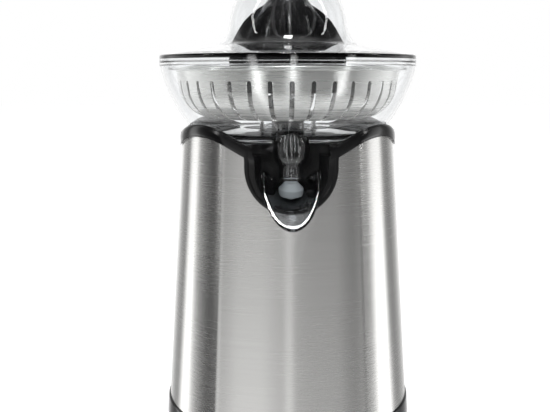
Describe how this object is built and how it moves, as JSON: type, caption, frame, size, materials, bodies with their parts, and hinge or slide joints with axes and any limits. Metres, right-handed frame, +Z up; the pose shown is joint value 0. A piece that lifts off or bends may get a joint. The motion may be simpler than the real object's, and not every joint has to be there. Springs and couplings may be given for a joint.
{
  "type": "citrus press juicer",
  "caption": "Electric citrus press with a clear dome lid, ribbed cone, slotted steel strainer, clear bowl, drip-stop spout and tapered steel body.",
  "frame": {"origin": "middle of the base on the surface the juicer stands on, below the drive shaft's axis", "axes": "+Z up along the drive shaft, -Y towards the spout, +X to the right seen from the front"},
  "size_m": [0.1704, 0.1721, 0.3072],
  "materials": {
    "clear_plastic": "clear moulded plastic, gloss",
    "black_plastic": "black moulded plastic, gloss",
    "dark_plastic": "dark moulded plastic, fine matt",
    "strainer_steel": "drawn stainless sheet, satin",
    "wrap_steel": "stainless sheet with horizontal brushing",
    "silicone": "soft grey silicone",
    "rubber": "black rubber",
    "bright_steel": "ground steel",
    "zinc_steel": "zinc plated",
    "motor_steel": "plated motor steel",
    "sintered_bronze": "sintered bronze",
    "brass": "cut brass",
    "white_plastic": "natural acetal",
    "red_plastic": "red switch plunger"
  },
  "bodies": {
    "housing": {"top_cover": "black_plastic", "steel_wrap": "wrap_steel", "base_band": "black_plastic", "bottom_cover": "dark_plastic", "rubber_feet": "rubber", "bottom_screws": "zinc_steel", "cord_gland": "rubber", "shaft_seal": "rubber", "upper_bush": "sintered_bronze", "return_spring": "bright_steel", "idler_pin": "bright_steel", "motor_can": "motor_steel", "motor_end_cap": "dark_plastic", "motor_screws": "zinc_steel", "gearbox_case": "dark_plastic", "gearbox_cover": "dark_plastic", "gearbox_screws": "zinc_steel", "press_switch": "dark_plastic", "switch_screws": "zinc_steel", "terminal_block": "white_plastic", "spout_pivot_pins": "bright_steel"},
    "lid": {"dome_lid": "clear_plastic"},
    "reamer": {"reamer_cone": "black_plastic"},
    "strainer": {"strainer_basket": "strainer_steel"},
    "bowl": {"juice_bowl": "clear_plastic"},
    "spout": {"spout_trough": "clear_plastic", "drip_plug": "silicone"},
    "press_cup": {"thrust_cup": "white_plastic"},
    "shaft": {"drive_shaft": "bright_steel"},
    "output_gear": {"final_gear": "white_plastic"},
    "idler": {"idler_gear": "white_plastic"},
    "rotor": {"motor_rotor": "motor_steel", "motor_pinion": "brass"},
    "switch_button": {"switch_plunger": "red_plastic"}
  },
  "joints": [
    {"name": "cone_press", "type": "slide", "parent": "housing", "child": "press_cup", "axis": [0, 0, 1], "range_m": [-0.002, 0], "stiffness_N_per_m": 2000, "springref_m": 0.004, "deforming": ["return_spring"]},
    {"name": "plunger_press", "type": "slide", "parent": "housing", "child": "switch_button", "axis": [0, 0, 1], "range_m": [-0.002, 0]},
    {"name": "rotor_spin", "type": "hinge", "parent": "housing", "child": "rotor", "pos_m": [-0.02544, 0.0261, 0.09], "axis": [0, 0, 1], "continuous": true},
    {"name": "idler_spin", "type": "hinge", "parent": "housing", "child": "idler", "pos_m": [0, 0.042, 0.125], "axis": [0, 0, 1], "continuous": true},
    {"name": "final_spin", "type": "hinge", "parent": "housing", "child": "output_gear", "pos_m": [0, 0, 0.131], "axis": [0, 0, 1], "continuous": true},
    {"name": "shaft_spin", "type": "hinge", "parent": "press_cup", "child": "shaft", "pos_m": [0, 0, 0.118], "axis": [0, 0, 1], "continuous": true},
    {"name": "strainer_lift", "type": "slide", "parent": "housing", "child": "strainer", "axis": [0, 0, 1], "range_m": [0, 0.06]},
    {"name": "bowl_lift", "type": "slide", "parent": "housing", "child": "bowl", "axis": [0, 0, 1], "range_m": [0, 0.03]},
    {"name": "reamer_lift", "type": "slide", "parent": "shaft", "child": "reamer", "axis": [0, 0, 1], "range_m": [0, 0.09]},
    {"name": "lid_lift", "type": "slide", "parent": "housing", "child": "lid", "axis": [0, 0, 1], "range_m": [0, 0.12]},
    {"name": "spout_flip", "type": "hinge", "parent": "housing", "child": "spout", "pos_m": [0, -0.05, 0.177], "axis": [-1, 0, 0], "range_deg": [0, 24]}
  ],
  "couplings": [
    {"joint": "plunger_press", "follows": "cone_press", "ratio": 1},
    {"joint": "idler_spin", "follows": "rotor_spin", "ratio": -0.25},
    {"joint": "final_spin", "follows": "rotor_spin", "ratio": 0.0625},
    {"joint": "shaft_spin", "follows": "rotor_spin", "ratio": 0.0625},
    {"joint": "bowl_lift", "follows": "strainer_lift", "ratio": 0.5},
    {"joint": "reamer_lift", "follows": "strainer_lift", "ratio": 1.5},
    {"joint": "lid_lift", "follows": "strainer_lift", "ratio": 2}
  ]
}
